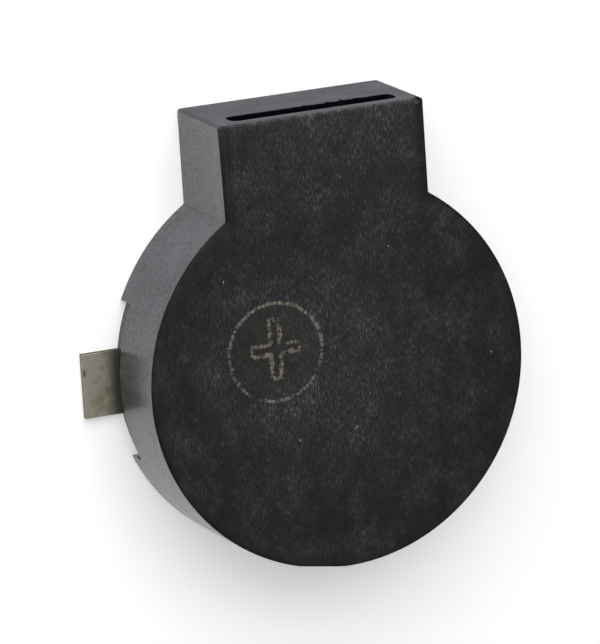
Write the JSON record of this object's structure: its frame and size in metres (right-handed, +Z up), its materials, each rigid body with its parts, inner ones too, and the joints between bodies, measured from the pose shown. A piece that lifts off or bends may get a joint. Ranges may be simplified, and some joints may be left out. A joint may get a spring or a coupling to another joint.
{
  "type": "electronic buzzer",
  "caption": "Low round surface-mount magnetic buzzer: a black moulded case with a side sound spout and slot over a coil, magnet and steel diaphragm, and flat tinned solder tabs.",
  "frame": {"origin": "on the round body's axis, in the board plane that the base, the rim and the solder tabs rest on", "axes": "+Z up from the board through the marked top, +Y out through the sound spout, -X towards the plus terminal"},
  "size_m": [0.0162, 0.0163, 0.004],
  "materials": {
    "case_plastic": "black glass-filled plastic, moulded, satin with a fine grain",
    "base_plastic": "black glass-filled plastic, moulded, matte",
    "tinned_terminal": "dull tin plating on bronze strip",
    "soft_iron": "nickel-plated soft iron, satin",
    "magnet_ferrite": "sintered, dark grey, matte",
    "copper_wire": "enamelled copper wire, glossy",
    "solder": "solder, satin bright",
    "diaphragm_steel": "rolled spring steel, fine satin",
    "epoxy": "black epoxy, glossy"
  },
  "bodies": {
    "root": {"case": "case_plastic", "base": "base_plastic", "terminal_plus": "tinned_terminal", "terminal_minus": "tinned_terminal", "yoke_plate": "soft_iron", "core_pin": "soft_iron", "ring_magnet": "magnet_ferrite", "coil": "copper_wire", "solder_joints": "solder", "diaphragm": "diaphragm_steel", "armature_disc": "soft_iron", "sealing_epoxy": "epoxy"}
  },
  "joints": []
}
